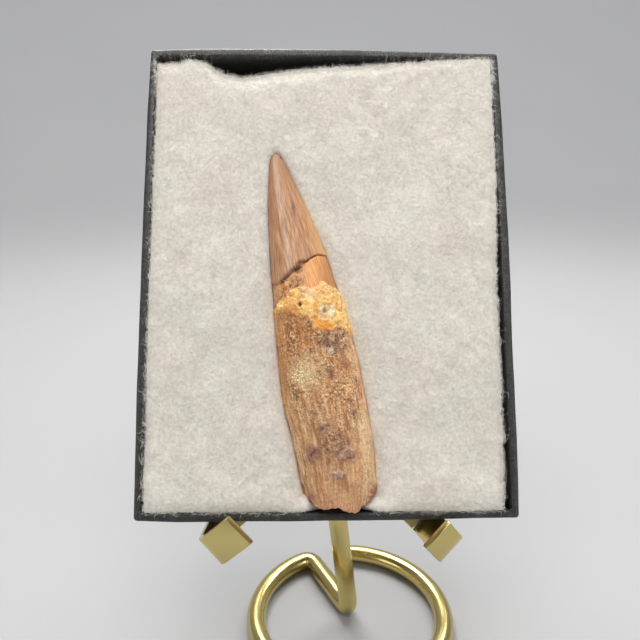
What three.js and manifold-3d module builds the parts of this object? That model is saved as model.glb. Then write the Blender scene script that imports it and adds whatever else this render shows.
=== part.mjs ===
// A fossil tooth pressed into the batting of an open specimen tray, on a bent brass stand.
// Millimetres, +Z up, and the tray's open side faces -Y. The origin is on the surface that the
// ring stands on, under the middle of the whole thing.
import * as THREE from 'three';
import { mergeVertices } from 'three/addons/utils/BufferGeometryUtils.js';
import Module from 'manifold-3d';

const wasm = await Module();
wasm.setup();

// Gap between two pieces that touch
const gap = 0.3;

// Tray: the usual card specimen mount of 3 1/4 by 4 1/4 by 3/4 inches
const trayWidth = 82.55;
const trayHeight = 107.95;
const trayDepth = 19.05;
const cardThickness = 1.5;
const trayCornerRadius = 1.6;
const topWallBow = 0.5;
const lean = THREE.MathUtils.degToRad(25.5);
const trayEdgeForward = 27.44;
const trayEdgeHeight = 42.3;

// Stand: a rod of 3/16 inch, and strips cut from brass sheet
const rodRadius = 2.38;
const rodSides = 10;
const rodReach = rodRadius / Math.cos(Math.PI / rodSides);
const ringRadius = 24;
const ringCentre = new THREE.Vector3(6.6, -9.94, rodRadius);
const ringStart = THREE.MathUtils.degToRad(91);
const ringSweep = THREE.MathUtils.degToRad(323);
const spokeCorner = new THREE.Vector3(-10.1, 22.3, 0);
const stemFoot = new THREE.Vector3(-0.1, 1.3, 0);
const spokeBend = 4.0;
const footBend = 3.5;
const stemBend = 6;
const kneeX = 2.9;
const stemTopAboveEdge = 46;
const armWidth = 7.2;
const armThickness = 1.4;
const hubX = 1.9;
const hubHeight = 18.2;

// Tooth, in the tray's own frame: x across, y into the tray from its rim, z up from its bottom edge
const toothBase = 2.0;
const toothTip = 82.3;
const toothSink = 2.2;
const pocketClearance = 1.3;

const material = (color, roughness, metalness = 0) =>
  new THREE.MeshStandardMaterial({ color, roughness, metalness });

const piece = (name, geometry, finish) => {
  const mesh = new THREE.Mesh(geometry, finish);
  mesh.name = name;
  return mesh;
};

// Smooth noise between -1 and 1, from a hash of the whole-number corners around a point
const hash = (i, j, k) => {
  const wave = Math.sin(i * 127.1 + j * 311.7 + k * 74.7) * 43758.5453;
  return 2 * (wave - Math.floor(wave)) - 1;
};
const noise = (x, y, z) => {
  const [i, j, k] = [x, y, z].map(Math.floor);
  const [u, v, w] = [x - i, y - j, z - k].map((t) => t * t * (3 - 2 * t));
  const { lerp } = THREE.MathUtils;
  const edge = (b, c) => lerp(hash(i, j + b, k + c), hash(i + 1, j + b, k + c), u);
  return lerp(lerp(edge(0, 0), edge(1, 0), v), lerp(edge(0, 1), edge(1, 1), v), w);
};

// A closed mesh as a solid for cutting, and back
const toSolid = (geometry) => {
  const bare = geometry.clone();
  bare.deleteAttribute('normal');
  bare.deleteAttribute('uv');
  const merged = mergeVertices(bare, 1e-4);
  return new wasm.Manifold(new wasm.Mesh({
    numProp: 3,
    vertProperties: new Float32Array(merged.attributes.position.array),
    triVerts: new Uint32Array(merged.index.array),
  }));
};
const toGeometry = (solid) => {
  const { vertProperties, triVerts } = solid.getMesh();
  const geometry = new THREE.BufferGeometry();
  geometry.setAttribute('position', new THREE.BufferAttribute(vertProperties, 3));
  geometry.setIndex(new THREE.BufferAttribute(triVerts, 1));
  geometry.computeVertexNormals();
  return geometry;
};

// Move each vertex of a geometry by a function that changes the vector it is given
const reshape = (geometry, move) => {
  const { position } = geometry.attributes;
  const point = new THREE.Vector3();
  for (let i = 0; i < position.count; i += 1) {
    point.fromBufferAttribute(position, i);
    move(point);
    position.setXYZ(i, point.x, point.y, point.z);
  }
  geometry.computeVertexNormals();
  return geometry;
};

// Height on a smooth line through hand-set points, each a pair of place and value
const profile = (points) => {
  const curve = new THREE.SplineCurve(points.map(([at, value]) => new THREE.Vector2(at, value)));
  const samples = curve.getPoints(points.length * 12);
  return (at) => {
    const next = samples.findIndex((sample) => sample.x >= at);
    if (next < 1) return next === 0 ? samples[0].y : samples.at(-1).y;
    const [before, after] = [samples[next - 1], samples[next]];
    return THREE.MathUtils.mapLinear(at, before.x, after.x, before.y, after.y);
  };
};

// The tooth's two edges, seen from the front, and how thick it is through
const toothLeft = profile([[0, -4.2], [8, -5.8], [16, -7.4], [25, -9.6], [37, -11.0], [48, -11.9],
  [60, -12.7], [70, -13.1], [78, -12.9], [82, -12.0], [83, -11.6]]);
const toothRight = profile([[0, 9.4], [6, 10.7], [14, 10.5], [22, 9.4], [33, 7.5], [42, 5.3],
  [51, 2.8], [60, 0.2], [70, -4.0], [78, -7.9], [82, -10.4], [83, -11.2]]);
const toothHalfDepth = profile([[0, 5.6], [6, 6.6], [18, 7.3], [32, 7.3], [46, 6.7], [58, 5.6],
  [70, 3.9], [78, 2.2], [82, 0.9], [83, 0.35]]);

// The crown broke across here once and was set back, so a crumbled crack runs up to the right
const crackHeight = profile([[-14, 51.6], [-10, 51.2], [-7.5, 53.4], [-5.5, 54.8], [-2.8, 56.8],
  [3, 57.6], [9, 58]]);
const bandTop = profile([[-14, 50.2], [-9, 50.6], [-6, 48.8], [-2, 49.6], [1, 48.4], [6, 49]]);
const bandBottom = profile([[-14, 40], [-8, 41.5], [-4, 39.6], [0, 40.2], [6, 37.6]]);

const smooth = THREE.MathUtils.smoothstep;
const crackDepth = 0.9;
const crackHalfWidth = 1.0;
const crackWander = 0.5;
const bandRise = 0.55;
const gritRise = 0.45;
const gritPerMm = 0.45;
const baseRaggedness = 1.7;
const raggedReach = 7;

// How far the surface stands out from the smooth form at a point on it
const toothRelief = ({ x, y, z }) => {
  const fromCrack = Math.abs(z - crackHeight(x) + crackWander * noise(x, y, 3));
  const crack = 1 - smooth(fromCrack, 0, crackHalfWidth);
  const band = smooth(z, bandBottom(x) - 1, bandBottom(x) + 0.6)
    * (1 - smooth(z, bandTop(x) - 0.6, bandTop(x) + 0.6));
  const root = 1 - smooth(z, bandBottom(x), bandBottom(x) + 3);
  const [u, v, w] = [x, y, z].map((at) => at * gritPerMm);
  const grit = noise(u, v, w / 2) + 0.6 * noise(2 * u, 2 * v, 1.2 * w);
  const lumps = noise(0.7 * u + 7, 0.7 * v, 0.7 * w);
  return root * gritRise * grit + band * bandRise * (1 + 0.5 * lumps) - crack * crackDepth;
};

// Rings of points from the broken base to the tip, set closer together at the crack and the band.
// extra swells the form all over, and relief is 1 for the true surface and 0 for the smooth form.
const toothForm = ({ around, along, relief, extra }) => {
  const rings = profile([[0, toothBase - extra], [0.4, 38], [0.72, 59], [1, toothTip + extra]]);
  const form = new THREE.CylinderGeometry(1, 1, 1, around, along);
  return reshape(form, (point) => {
    const reach = Math.hypot(point.x, point.z);
    const turn = Math.atan2(point.z, point.x);
    const height = rings(point.y + 0.5);
    const [left, right] = [toothLeft(height) - extra, toothRight(height) + extra];
    const halfWidth = reach * (right - left) / 2;
    const halfDepth = reach * (toothHalfDepth(height) + extra);
    const nearBase = 1 - smooth(height, toothBase, toothBase + raggedReach);
    const ragged = relief * nearBase * baseRaggedness * (1 + noise(turn * 1.9, 5, reach * 2));
    point.set(
      (left + right) / 2 + halfWidth * Math.cos(turn),
      toothSink * (1 - height / trayHeight) - halfDepth * Math.sin(turn),
      height + ragged,
    );
    const rise = relief * reach * toothRelief(point);
    point.x += rise * Math.cos(turn);
    point.y -= rise * Math.sin(turn);
  });
};

const makeTooth = () => toothForm({ around: 36, along: 70, relief: 1, extra: 0 });

// The pad swells over the rim in its middle and falls away towards the tray's walls
const padSide = cardThickness + gap;
const padShort = 1.2;
const padSwell = 0.7;
const padEdgeDrop = 4.2;
const padEdgeReach = 11;
const padLump = 0.7;
const padLumpsPerMm = 0.09;
const makeBatting = () => {
  const width = trayWidth - 2 * padSide;
  const height = trayHeight - 2 * padSide - padShort;
  const back = trayDepth - padSide;
  const block = new THREE.BoxGeometry(width, 1, height, 12, 2, 15);
  const pad = reshape(block, (point) => {
    const toFront = 0.5 - point.y;
    const side = Math.min(width / 2 - Math.abs(point.x), height / 2 - Math.abs(point.z));
    const drop = padEdgeDrop * (1 - smooth(side, 0, padEdgeReach)) ** 1.5;
    const lump = padLump * noise(point.x * padLumpsPerMm, 4, point.z * padLumpsPerMm);
    point.z += padSide + height / 2;
    point.y = THREE.MathUtils.lerp(back, drop + lump - padSwell, toFront);
  });
  const pocket = toothForm({ around: 20, along: 26, relief: 0, extra: pocketClearance });
  return toGeometry(toSolid(pad).subtract(toSolid(pocket)));
};

// A round-cornered plate in x and z whose upper side bows up a little, from one depth to another
const trayBlock = (inset, front, back) => {
  const [halfWidth, low, high] = [trayWidth / 2 - inset, inset, trayHeight - inset];
  const radius = Math.max(trayCornerRadius - inset, 0.4);
  const outline = new THREE.Shape();
  outline.absarc(-halfWidth + radius, low + radius, radius, Math.PI, 1.5 * Math.PI);
  outline.absarc(halfWidth - radius, low + radius, radius, 1.5 * Math.PI, 2 * Math.PI);
  outline.absarc(halfWidth - radius, high - radius, radius, 0, 0.5 * Math.PI);
  outline.quadraticCurveTo(0, high + 2 * topWallBow, -halfWidth + radius, high);
  outline.absarc(-halfWidth + radius, high - radius, radius, 0.5 * Math.PI, Math.PI);
  const options = { depth: back - front, bevelEnabled: false, curveSegments: 5 };
  const block = new THREE.ExtrudeGeometry(outline, options);
  return block.rotateX(Math.PI / 2).translate(0, back, 0);
};
const makeTray = () => {
  const outside = trayBlock(0, 0, trayDepth);
  const hollow = trayBlock(cardThickness, -1, trayDepth - cardThickness);
  return toGeometry(toSolid(outside).subtract(toSolid(hollow)));
};

// Part of a level circle about a centre, turning clockwise as seen from above
class RingArc extends THREE.Curve {
  getPoint(t, target = new THREE.Vector3()) {
    const angle = ringStart - ringSweep * t;
    return target.set(ringRadius * Math.cos(angle), ringRadius * Math.sin(angle), 0).add(ringCentre);
  }
}

// A place on the stem's axis behind the tray, from its height along the tray's back
const stemSetback = trayDepth + gap + armThickness + gap + rodReach;
const stemBehindTray = (x, height) => new THREE.Vector3(
  x,
  -trayEdgeForward + stemSetback * Math.cos(lean) + height * Math.sin(lean),
  trayEdgeHeight - stemSetback * Math.sin(lean) + height * Math.cos(lean),
);

// One rod: the ring, a bend into the spoke, a bend up into the stem, and a bend to lie along the tray
const makeRod = () => {
  const corner = spokeCorner.clone().add(ringCentre);
  const foot = stemFoot.clone().add(ringCentre);
  const knee = stemBehindTray(kneeX, 0);
  const hub = stemBehindTray(hubX, hubHeight);
  const top = knee.clone().lerp(hub, stemTopAboveEdge / hubHeight);
  const towards = (from, to, distance) =>
    from.clone().add(to.clone().sub(from).setLength(distance));
  const ring = new RingArc();
  const route = new THREE.CurvePath();
  route.add(ring);
  let last = ring.getPoint(1);
  const bends = [[corner, foot, spokeBend], [foot, knee, footBend], [knee, top, stemBend]];
  for (const [at, next, reach] of bends) {
    const [before, after] = [towards(at, last, reach), towards(at, next, reach)];
    route.add(new THREE.LineCurve3(last, before));
    route.add(new THREE.QuadraticBezierCurve3(before, at, after));
    last = after;
  }
  route.add(new THREE.LineCurve3(last, top));
  // The section's flats are turned so that one of them lies straight down under the ring
  const corners = Array.from({ length: rodSides }, (_, i) => {
    const angle = (i + 0.5) * 2 * Math.PI / rodSides;
    return new THREE.Vector2(rodReach * Math.cos(angle), rodReach * Math.sin(angle));
  });
  const options = { steps: 100, extrudePath: route, bevelEnabled: false };
  return new THREE.ExtrudeGeometry(new THREE.Shape(corners), options);
};

// A strip of sheet bent along a line of corners. Each corner gives its place, how far from it the
// bend starts, and the strip's slope there, which sets the direction of its width.
const bentStrip = (side, stops) => {
  const stations = [];
  const bendSteps = 6;
  stops.forEach(({ at, bend, slope }, i) => {
    const turn = THREE.MathUtils.degToRad(slope);
    const across = new THREE.Vector3(side * Math.sin(turn), 0, Math.cos(turn));
    if (!bend) {
      stations.push({ place: at, across });
      return;
    }
    const before = at.clone().add(stops[i - 1].at.clone().sub(at).setLength(bend));
    const after = at.clone().add(stops[i + 1].at.clone().sub(at).setLength(bend));
    const curve = new THREE.QuadraticBezierCurve3(before, at, after);
    curve.getPoints(bendSteps).forEach((place) => stations.push({ place, across }));
  });
  const last = stations.length - 1;
  const strip = new THREE.BoxGeometry(armWidth, 1, armThickness, 1, last, 1);
  return reshape(strip, (point) => {
    const index = Math.round((0.5 - point.y) * last);
    const { place, across } = stations[index];
    const ahead = stations[Math.min(index + 1, last)].place;
    const behind = stations[Math.max(index - 1, 0)].place;
    const along = ahead.clone().sub(behind).normalize();
    const through = across.clone().cross(along).normalize();
    const [wide, thick] = [side * point.x, side * point.z];
    // The upper end is cut upright, so that the two strips meet along the stem
    const mitre = index === 0 ? -wide * across.x / along.x : 0;
    point.copy(place).addScaledVector(across, wide).addScaledVector(through, -thick);
    point.addScaledVector(along, mitre);
  });
};

const armSetback = trayDepth + gap + armThickness / 2;
const hubPoint = (side) => new THREE.Vector3(hubX + side * gap / 2, armSetback, hubHeight);
const makeLeftArm = () => bentStrip(-1, [
  { at: hubPoint(-1), slope: 38.5 },
  { at: new THREE.Vector3(-25.1, armSetback, -3.7), bend: 2.4, slope: 38.5 },
  { at: new THREE.Vector3(-24.4, -1.5, -6.2), bend: 2.6, slope: 44.5 },
  { at: new THREE.Vector3(-17.9, -6.7, -0.9), slope: 44.5 },
]);
const makeRightArm = () => bentStrip(1, [
  { at: hubPoint(1), slope: 44.5 },
  { at: new THREE.Vector3(24.7, armSetback, -3.7), bend: 2.4, slope: 44.5 },
  { at: new THREE.Vector3(26.2, -1.5, -6.2), bend: 2.6, slope: 44.5 },
  { at: new THREE.Vector3(22.3, -5.7, -2.2), slope: 44.5 },
]);

const brass = () => material(0xb79a4e, 0.22, 1);

const leaning = new THREE.Group();
leaning.position.set(0, -trayEdgeForward, trayEdgeHeight);
leaning.rotation.x = -lean;
leaning.add(
  piece('tooth', makeTooth(), material(0x8a5f3f, 0.5)),
  piece('batting', makeBatting(), material(0xe8e1d8, 0.95)),
  piece('tray', makeTray(), material(0x17171a, 0.55)),
  piece('left_arm', makeLeftArm(), brass()),
  piece('right_arm', makeRightArm(), brass()),
);

const model = new THREE.Group();
model.add(leaning, piece('stand_rod', makeRod(), brass()));

export default model;
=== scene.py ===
# %% [markdown]
# # A fossil tooth in its specimen tray, on a brass stand
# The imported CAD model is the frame: it holds every piece at its real size and place. This lesson
# dresses it piece by piece. Before each step a note says what the real piece is, how it could be
# made, and why this way was chosen.

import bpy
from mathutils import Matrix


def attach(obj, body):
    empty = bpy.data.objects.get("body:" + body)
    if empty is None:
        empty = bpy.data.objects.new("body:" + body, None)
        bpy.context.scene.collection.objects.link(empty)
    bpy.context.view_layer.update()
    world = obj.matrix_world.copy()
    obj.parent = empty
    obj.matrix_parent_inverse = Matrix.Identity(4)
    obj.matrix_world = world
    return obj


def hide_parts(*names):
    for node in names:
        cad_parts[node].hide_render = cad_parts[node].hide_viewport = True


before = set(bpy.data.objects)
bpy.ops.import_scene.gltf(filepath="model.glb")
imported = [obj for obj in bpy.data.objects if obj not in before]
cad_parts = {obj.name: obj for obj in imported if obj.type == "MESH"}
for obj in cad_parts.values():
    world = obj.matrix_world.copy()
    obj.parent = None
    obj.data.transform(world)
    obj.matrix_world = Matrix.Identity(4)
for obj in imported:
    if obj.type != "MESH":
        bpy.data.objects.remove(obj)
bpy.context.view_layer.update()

import math

import bmesh
import bpy
import numpy as np
from mathutils import Matrix, Vector

print("nodes in the frame:", sorted(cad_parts))

# %% [markdown]
# Blender works in metres, but this object is the size of a hand, so its pieces are easier to think
# of in millimetres. The tray also leans back. So each piece is modelled in millimetres along handy
# axes: those of the tray for all that lies in it or hooks on to it, and upright ones for the rod.
# One matrix then sets the finished mesh in its place, and the object itself stays at the origin.

# %% Working axes
MM = 0.001
LEAN = math.radians(25.5)
# The middle of the tray's lower front edge, where the tray's own axes start
TRAY_EDGE = Vector((0, -27.44, 42.3))
UPRIGHT_PLACE = Matrix.Scale(MM, 4)
TRAY_PLACE = UPRIGHT_PLACE @ Matrix.Translation(TRAY_EDGE) @ Matrix.Rotation(-LEAN, 4, "X")


def newest(name):
    """The piece that was just added, under its own name."""
    bpy.context.object.name = name
    return bpy.context.object


def only(piece):
    """Leave one piece selected and active, and nothing else."""
    bpy.ops.object.select_all(action="DESELECT")
    piece.select_set(True)
    bpy.context.view_layer.objects.active = piece


def pick(kind, test):
    """In edit mode, select the verts, edges or faces that pass a test, and nothing else."""
    bpy.ops.mesh.select_mode(type={"verts": "VERT", "edges": "EDGE", "faces": "FACE"}[kind])
    bpy.ops.mesh.select_all(action="DESELECT")
    shape = bmesh.from_edit_mesh(bpy.context.object.data)
    chosen = [item for item in getattr(shape, kind) if test(item)]
    for item in chosen:
        item.select_set(True)
    bmesh.update_edit_mesh(bpy.context.object.data)
    return len(chosen)


def edit_all():
    """Open the active piece for editing, with all of it selected."""
    bpy.ops.object.mode_set(mode="EDIT")
    bpy.ops.mesh.select_all(action="SELECT")


def close_skin():
    """Turn every face outwards, and end the editing."""
    bpy.ops.mesh.select_all(action="SELECT")
    bpy.ops.mesh.normals_make_consistent(inside=False)
    bpy.ops.object.mode_set(mode="OBJECT")


def smooth_below(degrees):
    """End any editing, and shade the piece smooth but for edges sharper than this."""
    bpy.ops.object.mode_set(mode="OBJECT")
    bpy.ops.object.shade_smooth_by_angle(angle=math.radians(degrees))


def dress(piece, place, material, stands_for=()):
    """Set a finished piece in its place, give it its finish, hang it under the root, and hide the frame
    nodes it stands for.
    """
    piece.data.transform(place)
    piece.data.materials.clear()
    piece.data.materials.append(material)
    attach(piece, "root")
    if stands_for:
        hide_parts(*stands_for)
    print(piece.name, len(piece.data.polygons), "faces")


# %% [markdown]
# The camera stands in front, a little above the tray's middle, and looks 17 degrees down. Its place
# and its lens follow from the tray's four corners and the ring's outline.

# %% Camera
CAMERA_PLACE = Vector((-3.87, -146.18, 123.26)) * MM
CAMERA_DOWN = math.radians(17)
CAMERA_YAW = math.radians(-1.07)
CAMERA_ROLL = math.radians(0.2)
CAMERA_LENS = 36.06
CAMERA_SENSOR = 36
NEAREST_SEEN = 0.01

bpy.ops.object.camera_add()
camera = newest("camera")
turned = Matrix.Rotation(CAMERA_YAW, 4, "Z") @ Matrix.Rotation(math.pi / 2 - CAMERA_DOWN, 4, "X")
camera.matrix_world = Matrix.Translation(CAMERA_PLACE) @ turned @ Matrix.Rotation(CAMERA_ROLL, 4, "Z")
camera.data.sensor_width = CAMERA_SENSOR
camera.data.lens = CAMERA_LENS
camera.data.clip_start = NEAREST_SEEN
bpy.context.scene.camera = camera
bpy.context.scene.view_settings.view_transform = "Standard"

# %% [markdown]
# The floor is a wide pale dish: flat where the stand rests, with a rim that sweeps up far away, so
# that no horizon cuts through the picture. A plane would do for one view, but the object is looked
# at from all sides. It is a disc whose edge is extruded outwards and up in a few steps.

# %% Floor
FLOOR_FLAT = 0.9
SWEEP = 0.9
WALL_HEIGHT = 2.4
FLOOR_SIDES = 96
SWEEP_STEPS = 8

bpy.ops.mesh.primitive_circle_add(vertices=FLOOR_SIDES, radius=FLOOR_FLAT, fill_type="NGON")
floor = newest("floor")
bpy.ops.object.mode_set(mode="EDIT")
pick("edges", lambda edge: True)
for step in range(SWEEP_STEPS):
    low, high = [math.radians(90) * turn / SWEEP_STEPS for turn in (step, step + 1)]
    reach = [FLOOR_FLAT + SWEEP * math.sin(turn) for turn in (low, high)]
    rise = SWEEP * (math.cos(low) - math.cos(high))
    bpy.ops.mesh.extrude_edges_move(TRANSFORM_OT_translate={"value": (0, 0, rise)})
    bpy.ops.transform.resize(value=(reach[1] / reach[0], reach[1] / reach[0], 1))
bpy.ops.mesh.extrude_edges_move(TRANSFORM_OT_translate={"value": (0, 0, WALL_HEIGHT - SWEEP)})
bpy.ops.object.mode_set(mode="OBJECT")
bpy.ops.object.shade_smooth()
print("floor is", round(2 * (FLOOR_FLAT + SWEEP), 2), "m across")

# %% [markdown]
# Soft light comes from square lamps. The main one hangs in front and above, and adds some shine to
# the tooth's long pale highlight, which is painted into the tooth's colour. Two weaker ones fill the
# left and the right side. One high at the right and behind draws the bright line along the brass
# ring, one overhead edges the top of the tray, and the last lights the paper behind.

# %% Lights
def softbox(name, place, aim, size, power, tint=(1, 1, 1)):
    """Hang a square lamp at a place in metres and point it at another."""
    bpy.ops.object.light_add(type="AREA", location=place)
    lamp = newest(name)
    lamp.data.shape = "SQUARE"
    lamp.data.size = size
    lamp.data.energy = power
    lamp.data.color = tint
    lamp.rotation_mode = "QUATERNION"
    lamp.rotation_quaternion = (Vector(aim) - Vector(place)).to_track_quat("-Z", "Y")


softbox("front_lamp", (-0.02, -0.18, 0.465), (0, 0, 0.12), 0.3, 1.14, (1, 0.98, 0.935))
softbox("left_lamp", (-0.5, -0.34, 0.24), (0, 0, 0.08), 0.3, 0.5)
softbox("right_lamp", (0.5, -0.42, 0.3), (0, 0, 0.07), 0.3, 0.9, (1, 0.985, 0.95))
softbox("back_lamp", (0.3, 0.32, 0.5), (0, 0, 0.03), 0.16, 0.9, (1, 0.98, 0.95))
softbox("top_lamp", (-0.1, 0.3, 0.5), (0, 0, 0.12), 0.24, 1.35)
softbox("ceiling_lamp", (0, 1.2, 2.2), (0, 1.1, 0), 1.8, 58)

ROOM_TINT = (0.9, 0.93, 1, 1)
ROOM_GLOW = 0.17
world = bpy.data.worlds.new("room")
world.use_nodes = True
glow = world.node_tree.nodes["Background"].inputs
glow["Color"].default_value = ROOM_TINT
glow["Strength"].default_value = ROOM_GLOW
bpy.context.scene.world = world

# %% [markdown]
# Materials are built from nodes. A few small helpers keep that readable: one adds a node with its
# settings, one starts a material, and one builds a group, a part of a material that is drawn once
# and then placed in others with its own values.

# %% Node helpers
def add_node(tree, kind, inputs=(), **settings):
    """Add a node, set its properties, and set or link its inputs by name or number."""
    made = tree.nodes.new(kind)
    for key, value in settings.items():
        setattr(made, key, value)
    for key, value in dict(inputs).items():
        socket = made.inputs[key]
        if isinstance(value, bpy.types.NodeSocket):
            tree.links.new(value, socket)
        else:
            socket.default_value = value
    return made


def new_material(name, **sockets):
    """Start a material whose shader has these plain values."""
    material = bpy.data.materials.new(name)
    material.use_nodes = True
    shader = material.node_tree.nodes["Principled BSDF"]
    for key, value in sockets.items():
        shader.inputs[key.replace("_", " ")].default_value = value
    return material, material.node_tree, shader


def new_group(name, inputs, outputs):
    """Start a node group with named sockets: its tree, what goes into it and what comes out."""
    tree = bpy.data.node_groups.new(name, "ShaderNodeTree")
    for way, sockets in (("INPUT", inputs), ("OUTPUT", outputs)):
        for label, kind in sockets.items():
            tree.interface.new_socket(label, in_out=way, socket_type="NodeSocket" + kind)
    return tree, tree.nodes.new("NodeGroupInput").outputs, tree.nodes.new("NodeGroupOutput").inputs


def place_group(tree, group, **inputs):
    """Place a group in a material with its own values, and give what comes out."""
    return add_node(tree, "ShaderNodeGroup", inputs, node_tree=group).outputs


def carry_over(tree, value, old, new, **settings):
    """Carry a value over from one range, given as its low and high end, to another."""
    inputs = {"Value": value, "From Min": old[0], "From Max": old[1], "To Min": new[0], "To Max": new[1]}
    return add_node(tree, "ShaderNodeMapRange", inputs, **settings).outputs[0]


def finish_shader(tree, shader, colour, roughness=None, bump=None):
    """Link a colour, a roughness, and a bump given as its strength, distance and height."""
    tree.links.new(colour, shader.inputs["Base Color"])
    if roughness is not None:
        tree.links.new(roughness, shader.inputs["Roughness"])
    if bump is not None:
        added = add_node(tree, "ShaderNodeBump", zip(("Strength", "Distance", "Height"), bump))
        tree.links.new(added.outputs[0], shader.inputs["Normal"])


def arithmetic(tree, operation, first, second):
    """One sum on two values or sockets, and its result."""
    return add_node(tree, "ShaderNodeMath", {0: first, 1: second}, operation=operation).outputs[0]


def blend_colours(tree, factor, first, second, mode="MIX"):
    """Mix two colours or sockets, and give the mixed colour."""
    inputs = {"Factor": factor, 6: first, 7: second}
    return add_node(tree, "ShaderNodeMix", inputs, data_type="RGBA", blend_type=mode).outputs[2]


def object_place(tree):
    """The point on the surface, in the object's own coordinates, which are metres."""
    return add_node(tree, "ShaderNodeTexCoord").outputs["Object"]


def mottled(tree, scale, low, high):
    """A soft cloudiness over the whole piece, as a value from low to high."""
    return place_group(tree, mottle, Vector=object_place(tree), Scale=scale, Low=low, High=high)[0]


def srgb(red, green, blue):
    """A colour as a screen shows it, from 0 to 255, as the linear light that Blender works in."""
    shown = np.array([red, green, blue]) / 255
    return np.where(shown <= 0.04045, shown / 12.92, ((shown + 0.055) / 1.055) ** 2.4)


# %% [markdown]
# Three effects turn up in more than one finish here. *Mottle* is a soft cloudiness: smudges on
# brass, uneven paper, tints in the batting. *Pebbles* is a packing of small rounded grains, which
# is both the leather grain pressed into the paper and the gritty crust of the root. *Streaks* is
# noise drawn out along one direction: polishing lines on metal and the fine lines of the enamel.

# %% Shared effects
mottle, given, result = new_group(
    "mottle", {"Vector": "Vector", "Scale": "Float", "Low": "Float", "High": "Float"}, {"Value": "Float"})
cloudy = add_node(mottle, "ShaderNodeTexNoise", {
    "Vector": given["Vector"], "Scale": given["Scale"], "Detail": 4.0})
ranged = carry_over(mottle, cloudy.outputs["Fac"], (0.3, 0.7), (given["Low"], given["High"]))
mottle.links.new(ranged, result["Value"])

pebbles, given, result = new_group(
    "pebbles", {"Vector": "Vector", "Scale": "Float"}, {"Height": "Float", "Tone": "Float"})
cells = add_node(pebbles, "ShaderNodeTexVoronoi", {"Vector": given["Vector"], "Scale": given["Scale"]})
round_top = carry_over(
    pebbles, cells.outputs["Distance"], (0.1, 0.7), (1.0, 0.0), interpolation_type="SMOOTHSTEP")
each = add_node(pebbles, "ShaderNodeSeparateColor", {0: cells.outputs["Color"]})
pebbles.links.new(round_top, result["Height"])
pebbles.links.new(each.outputs[0], result["Tone"])

streaks, given, result = new_group(
    "streaks", {"Vector": "Vector", "Squeeze": "Vector", "Low": "Float", "High": "Float"},
    {"Value": "Float"})
drawn_out = add_node(streaks, "ShaderNodeVectorMath", {
    0: given["Vector"], 1: given["Squeeze"]}, operation="MULTIPLY")
lines = add_node(streaks, "ShaderNodeTexNoise", {
    "Vector": drawn_out.outputs[0], "Scale": 1.0, "Detail": 3.0})
ranged = carry_over(streaks, lines.outputs["Fac"], (0.32, 0.68), (given["Low"], given["High"]))
streaks.links.new(ranged, result["Value"])
print("shared effects:", [group.name for group in (mottle, pebbles, streaks)])

# %% [markdown]
# The floor is matt pale paper. Its tone wanders by a few hundredths, so that it doesn't look empty.

# %% Floor finish
FLOOR_PALE = (0.41, 0.41, 0.415, 1)

paper_white, tree, shader = new_material("floor_paper", Roughness=0.85, Specular_IOR_Level=0.2)
tone = mottled(tree, 3.0, 0.97, 1.0)
finish_shader(tree, shader, blend_colours(tree, 1.0, FLOOR_PALE, tone, "MULTIPLY"))
floor.data.materials.append(paper_white)

# %% [markdown]
# The brass is polished and clear lacquered. Its colour is its reflection, so the material needs
# little: a greenish gold, darker than bare brass as painted shade for the dim room it would reflect,
# a low roughness that smudges make uneven, and very fine polishing lines.

# %% Brass
# Both golds are painted darker than bare brass, as shade standing in for dark surroundings in the
# reflection; the mottle that mixes them is tarnish.
BRASS_BRIGHT = (0.62, 0.52, 0.21, 1)
BRASS_DULL = (0.52, 0.39, 0.15, 1)


def make_brass():
    """One brass for the rod, the strips and the braze."""
    material, tree, shader = new_material("polished_brass", Metallic=1.0)
    place = object_place(tree)
    tarnish = mottled(tree, 90.0, 0.0, 0.35)
    colour = blend_colours(tree, tarnish, BRASS_BRIGHT, BRASS_DULL)
    smudge = mottled(tree, 260.0, 0.17, 0.27)
    polish = place_group(tree, streaks, Vector=place, Squeeze=(900, 2600, 2600), Low=0.0, High=1.0)
    finish_shader(tree, shader, colour, smudge, (0.12, 0.00003, polish[0]))
    return material


brass = make_brass()

# %% [markdown]
# The stand is one brass rod, 4.76 mm thick. Three quarters of a turn and more lie flat as a ring,
# a sharp bend leads in to the middle, and another turns it up to become the stem. The tray's back
# bends it a third time. It could be a circle and cylinders joined together, but a real bent rod has
# no joints, so it is one curve with a round bevel, turned into a mesh.

# %% Rod
ROD_RADIUS = 2.38
CUT_EDGE = 0.5
RING_RADIUS = 24.0
RING_CENTRE = Vector((6.6, -9.94, ROD_RADIUS))
RING_START = math.radians(91)
RING_SWEEP = math.radians(323)
RING_STEPS = 180
SPOKE_CORNER = RING_CENTRE + Vector((-10.1, 22.3, 0))
STEM_FOOT = RING_CENTRE + Vector((-0.1, 1.3, 0))
TRAY_DEPTH = 19.05
GAP = 0.3
ARM_THICKNESS = 1.4
KNEE_X = 2.9
HUB_X = 1.9
HUB_HEIGHT = 18.2
STEM_TOP = 46.0
STEM_SETBACK = TRAY_DEPTH + ARM_THICKNESS + 2 * GAP + ROD_RADIUS / math.cos(math.pi / 10)
# How far from each corner its bend starts: into the spoke, up the stem, and behind the tray
BEND_REACHES = (4.0, 3.5, 6.0)


def behind_tray(x, height):
    """A place on the stem's middle line behind the tray, from its height along the tray's back."""
    return TRAY_EDGE + Matrix.Rotation(-LEAN, 3, "X") @ Vector((x, STEM_SETBACK, height))


def bend_through(before, corner, after, reach, steps=14):
    """Points of a smooth bend at a corner, starting and ending a given reach from it."""
    first = corner + (before - corner).normalized() * reach
    last = corner + (after - corner).normalized() * reach
    at = [step / steps for step in range(steps + 1)]
    return [first * (1 - t) ** 2 + corner * 2 * t * (1 - t) + last * t ** 2 for t in at]


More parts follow.
